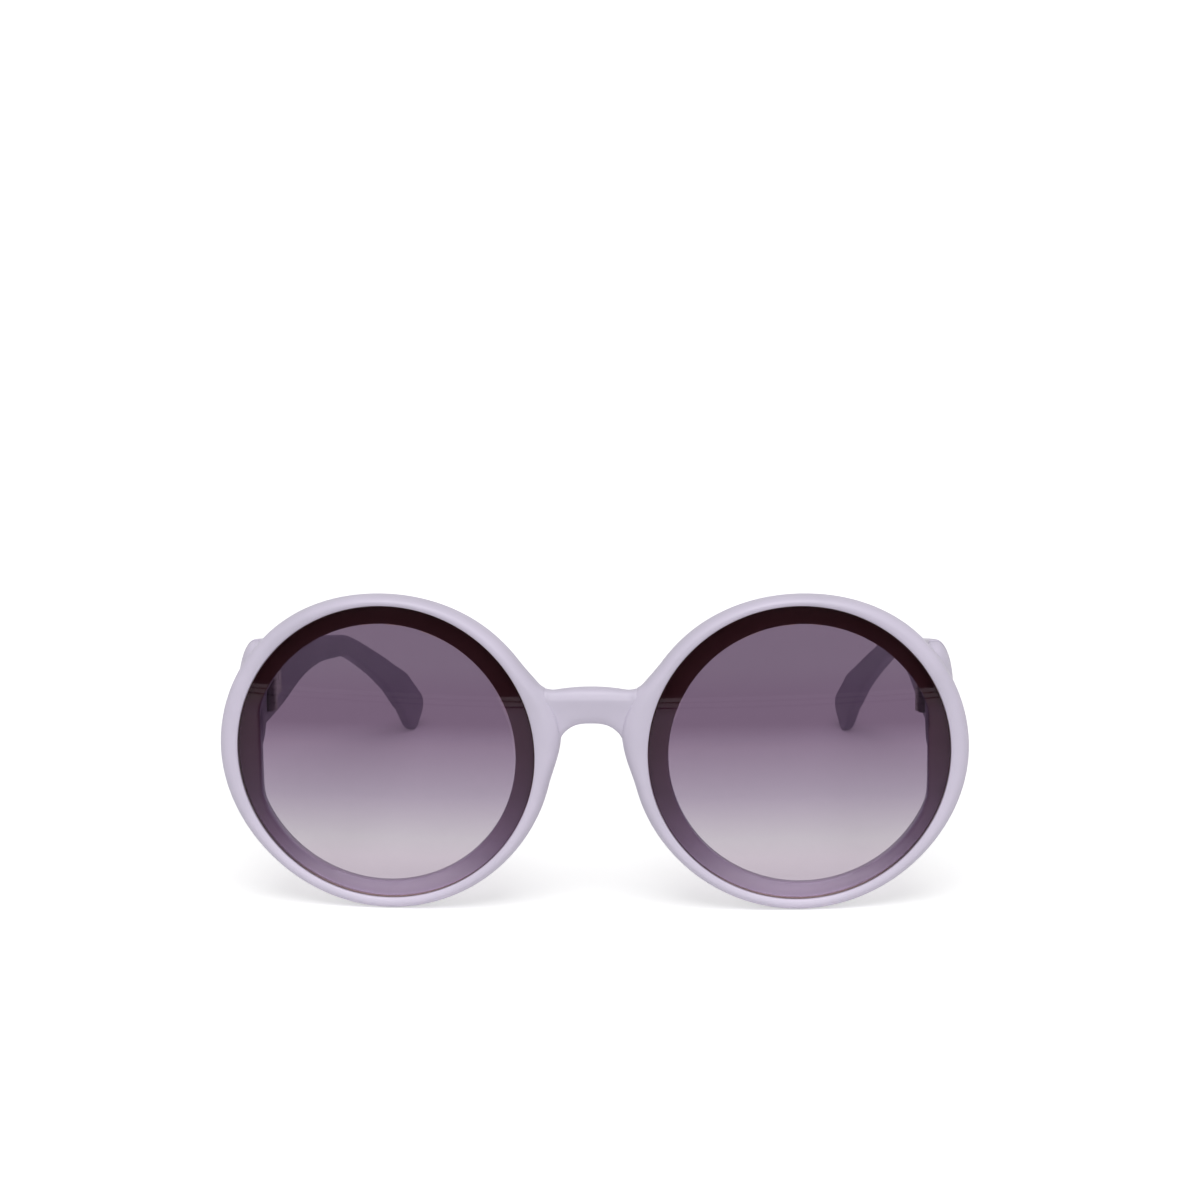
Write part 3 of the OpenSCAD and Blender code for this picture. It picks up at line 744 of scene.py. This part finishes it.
def rise(value, start, end):
    """0 up to start and 1 from end, with an even slope between them."""
    return value.node("MapRange", {}, {"Value": value, "From Min": start, "From Max": end})


def clamped(value):
    """A value held between 0 and 1."""
    return value.node("Clamp", {}, {"Value": value})


def mixed(share, first, second):
    """The first shader where share is 0, and the second where it is 1."""
    return share.node("MixShader", {}, {0: share, 1: first, 2: second})


def ray_kinds(tree):
    """1 where a ray comes straight from the camera, off a mirror, or through something clear."""
    path = tree.nodes.new("ShaderNodeLightPath")
    kinds = ("Camera", "Glossy", "Transmission")
    return [Link(tree, path.outputs[f"Is {kind} Ray"]) for kind in kinds]


def emptied(tree, coordinates):
    """Clears a node tree and gives it one kind of coordinates."""
    tree.nodes.clear()
    return Link(tree, tree.nodes.new("ShaderNodeTexCoord").outputs[coordinates])


def new_finish(name):
    """An empty material, and the Object coordinates of what wears it."""
    material = bpy.data.materials.new(name)
    material.use_nodes = True
    return material, emptied(material.node_tree, "Object")


def show(shader, output="OutputMaterial"):
    """Makes shader what the surface of a material, or the world, shows."""
    shader.tree.links.new(
        shader.socket, shader.tree.nodes.new("ShaderNode" + output).inputs["Surface"])


def moulded_plastic():
    """Satin lavender plastic: faint clouding of the colour, a fine moulded grain, and gloss
    that varies a little where hands rub it."""
    material, place = new_finish("lavender_plastic")
    cloud = place.node("TexNoise", {}, {"Vector": place, "Scale": 60.0, "Detail": 3.0})
    grain = place.node("TexNoise", {}, {"Vector": place, "Scale": 2600.0, "Detail": 2.0})
    rub = place.node("TexNoise", {}, {"Vector": place, "Scale": 140.0, "Detail": 4.0})
    colour = place.node("ValToRGB", {"stops": [
        (0.3, linear("c7c0d1")), (0.7, linear("d0c8da")),
    ]}, {"Fac": cloud})
    bump = place.node("Bump", {}, {"Strength": 0.12, "Distance": 0.00006, "Height": grain})
    show(place.node("BsdfPrincipled", {}, {
        "Base Color": colour, "Roughness": 0.36 + 0.12 * rub, "Normal": bump,
        "Specular IOR Level": 0.42,
    }))
    return material


def film(z, levels):
    """A clear film whose tint blends evenly from colour to colour down a list of heights."""
    shader = z.node("BsdfTransparent", {}, {"Color": (*levels[0][1], 1)})
    for (above, _), (below, colour) in zip(levels, levels[1:]):
        lower = z.node("BsdfTransparent", {}, {"Color": (*colour, 1)})
        shader = mixed(rise(z, above * MM, below * MM), shader, lower)
    return shader


def tinted_glass():
    """Lens tint: plum at the top, paler below, with a polished surface. Over the ledge its rear
    face also carries painted shade at the top, painted light lower down and a painted reflection
    of the table's edge. It mirrors by a share that grows with the fifth power of how far it turns
    away, and a little more in front of the ledge. Its ground edge is brown, with painted light low
    down and painted shade that darkens it further up."""
    material, place = new_finish("gradient_tint_with_painted_shade")
    z = place.node("SeparateXYZ", {}, {"Vector": place}, out=2)
    over = place.node("Attribute", {"attribute_name": "over_ledge"}, out=2)
    rear = place.node("Attribute", {"attribute_name": "rear_face"}, out=2)
    edge = place.node("Attribute", {"attribute_name": "cut_edge"}, out=2)
    # Over the ledge the rear face takes the film of tint with painted shade, light and reflection.
    tint = mixed(over * rear, film(z, FACE_TINT), film(z, LEDGE_TINT_AND_PAINTED_SHADE))
    gloss = place.node("BsdfGlossy", {}, {"Color": (1, 0.82, 0.95, 1), "Roughness": 0.015})
    facing = place.node("LayerWeight", {}, {"Blend": 0.5}, out=1)
    straight = FACE_MIRROR + LEDGE_MIRROR * over * (1.0 - rear)
    mirror = straight + (1 - FACE_MIRROR - LEDGE_MIRROR) * facing ** 5
    # The edge's brown ramp paints light on it low down and shade higher up.
    brown = place.node("ValToRGB", {"stops": [
        (0.04, GROUND_LIT_LOW), (0.16, GROUND_SHADED_HIGH),
    ]}, {"Fac": z * RAMP_PER_METRE})
    ground = place.node("BsdfPrincipled", {}, {"Base Color": brown, "Roughness": 0.4})
    show(mixed(edge, mixed(mirror, tint, gloss), ground))
    return material


def plated_steel(name, tone, scale):
    """Nickel plate: bright metal with fine drawn lines and a little uneven gloss."""
    material, place = new_finish(name)
    stretched = place.node("Mapping", {}, {"Vector": place, "Scale": (1.0, 1.0, 14.0)})
    lines = place.node("TexNoise", {}, {"Vector": stretched, "Scale": scale, "Detail": 3.0})
    spots = place.node("TexNoise", {}, {"Vector": place, "Scale": 500.0, "Detail": 3.0})
    colour = place.node("ValToRGB", {"stops": [
        (0.3, linear(tone)), (0.75, np.minimum(linear(tone) * 1.2, 1)),
    ]}, {"Fac": spots})
    bump = place.node("Bump", {}, {"Strength": 0.15, "Distance": 0.00004, "Height": lines})
    show(place.node("BsdfPrincipled", {}, {
        "Base Color": colour, "Metallic": 1.0, "Roughness": 0.32 + 0.16 * spots, "Normal": bump,
    }))
    return material


def white_floor():
    """A plain white floor whose own light lifts it to white where nothing shades it."""
    material, place = new_finish("white_floor")
    matt = place.node("BsdfDiffuse", {}, {"Color": grey(0.8)})
    glow = place.node("Emission", {}, {"Color": grey(1), "Strength": 0.48})
    lifted = place.node("AddShader", {}, {0: matt, 1: glow})
    camera_ray, glossy_ray, clear_ray = ray_kinds(place.tree)
    show(mixed(clamped(camera_ray + glossy_ray + clear_ray), matt, lifted))
    return material


def wear(obj, material):
    """Puts one finish on all of an object."""
    if obj.data.materials:
        for i in range(len(obj.data.materials)):
            obj.data.materials[i] = material
    else:
        obj.data.materials.append(material)


plastic, tint = moulded_plastic(), tinted_glass()
leaf_plate = plated_steel("nickel_leaves", "b9b6b0", 900.0)
screw_plate = plated_steel("bright_screws", "c4c2be", 1500.0)
for piece in plastic_pieces:
    wear(piece, plastic)
for piece in lens_pieces:
    wear(piece, tint)
for side in ("left", "right"):
    for leaf in ("front_leaf", "temple_leaf"):
        wear(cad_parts[f"{leaf}_{side}"], leaf_plate)
    for screw in ("hinge_screw", "front_leaf_screws", "temple_leaf_screws"):
        wear(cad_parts[f"{screw}_{side}"], screw_plate)


# Floor, light and camera

# The table ends in front of the glasses with two grooves and two narrow strips, which show as
# faint lines where the lenses mirror them. It lies just under the rims.
TABLE_BACK, TABLE_HALF_W, TABLE_DROP = 6000, 4000, 0.02
TABLE_FRONT, GROOVE, TABLE_STRIP, TABLE_STRIPS = -257, 2.5, 7.5, 2

# Strength of the room's light from behind and from in front, and as mirrored low down and high
# up, and the parts of a direction, back and up, between which each changes
ROOM_BEHIND, ROOM_AHEAD, MIRRORED_LOW, MIRRORED_HIGH = 0.2, 0.4, 0.03, 0.9
BACK_TO_FRONT, LOW_TO_HIGH = (0.6, -0.3), (-0.14, 0.04)

# The camera, solved from the photograph: its place and its target, from where the plane of the
# lenses crosses the middle of the front, its roll in degrees, and its focal length in pixels
CAMERA_PLACE, CAMERA_TARGET, CAMERA_ROLL = (45.41, -729.18, 233.50), (2.05, 0, 63.432), -0.771
FOCAL_PIXELS, PICTURE_PIXELS, SENSOR_W = 3822.984, 1200, 36


def table_mesh():
    """The floor: one broad face and the strips in front of it, in metres."""
    rows = [TABLE_BACK, TABLE_FRONT]
    for _ in range(TABLE_STRIPS):
        rows += [rows[-1] - GROOVE, rows[-1] - GROOVE - TABLE_STRIP]
    corners = [(x, y, -TABLE_DROP) for y in rows for x in (TABLE_HALF_W, -TABLE_HALF_W)]
    mesh = bpy.data.meshes.new("floor")
    mesh.from_pydata(np.array(corners) * MM, [],
                     [(k, k + 1, k + 3, k + 2) for k in range(0, len(corners), 4)])
    return mesh


def studio():
    """The room round the glasses: white where it is seen straight or through a lens. It lights
    them a little more from in front, and is mirrored bright high up and dim low down."""
    world = bpy.data.worlds.new("studio")
    bpy.context.scene.world = world
    world.use_nodes = True
    sky = emptied(world.node_tree, "Generated")
    camera_ray, glossy_ray, clear_ray = ray_kinds(world.node_tree)
    back, up = (sky.node("SeparateXYZ", {}, {"Vector": sky}, out=k) for k in (1, 2))

    def glowing(strength):
        """White light of one strength from all round."""
        return sky.node("Background", {}, {"Color": grey(1), "Strength": strength})

    lit = mixed(rise(back, *BACK_TO_FRONT), glowing(ROOM_BEHIND), glowing(ROOM_AHEAD))
    reflected = mixed(rise(up, *LOW_TO_HIGH), glowing(MIRRORED_LOW), glowing(MIRRORED_HIGH))
    room = mixed(glossy_ray, lit, reflected)
    show(mixed(clamped(camera_ray + clear_ray), room, glowing(1.0)), "OutputWorld")


def aim(obj, position, target, roll=0.0):
    """Places an object so that its -Z axis points from position to target, rolled about it by
    degrees: its side and top are crossed from that axis and the upright, then turned."""
    position, target = np.array(position, float), np.array(target, float)
    ahead = (target - position) / np.linalg.norm(target - position)
    right = np.cross(ahead, [0, 0, 1])
    right /= np.linalg.norm(right)
    up = np.cross(right, ahead)
    c, s = np.cos(np.radians(roll)), np.sin(np.radians(roll))
    matrix = np.eye(4)
    matrix[:3] = np.stack([c * right + s * up, -s * right + c * up, -ahead, position], -1)
    obj.matrix_world = Matrix(matrix)


def softbox(name, source, strength, angle):
    """A distant soft lamp that shines from source toward the glasses."""
    data = bpy.data.lights.new(name, "SUN")
    data.energy, data.angle = strength, np.radians(angle)
    aim(add_object(name, data), source, (0, 0, 0))


def photo_camera():
    """The camera, moved with the lenses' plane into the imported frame."""
    data = bpy.data.cameras.new("camera")
    data.sensor_width = SENSOR_W
    data.lens = FOCAL_PIXELS / PICTURE_PIXELS * SENSOR_W
    data.clip_start, data.clip_end = 0.01, 50
    camera = add_object("camera", data)
    move = np.array([0, LENS_Y - MID_Y, 0])
    aim(camera, (CAMERA_PLACE + move) * MM, (CAMERA_TARGET + move) * MM, CAMERA_ROLL)
    bpy.context.scene.camera = camera


floor = add_object("floor", table_mesh())
wear(floor, white_floor())

studio()
softbox("overhead_softbox", source=(0.03, -0.5, 1.0), strength=1.62, angle=45)
softbox("front_softbox", source=(0.1, -1.0, 0.3), strength=0.66, angle=30)
photo_camera()
bpy.context.scene.view_settings.view_transform = "Standard"
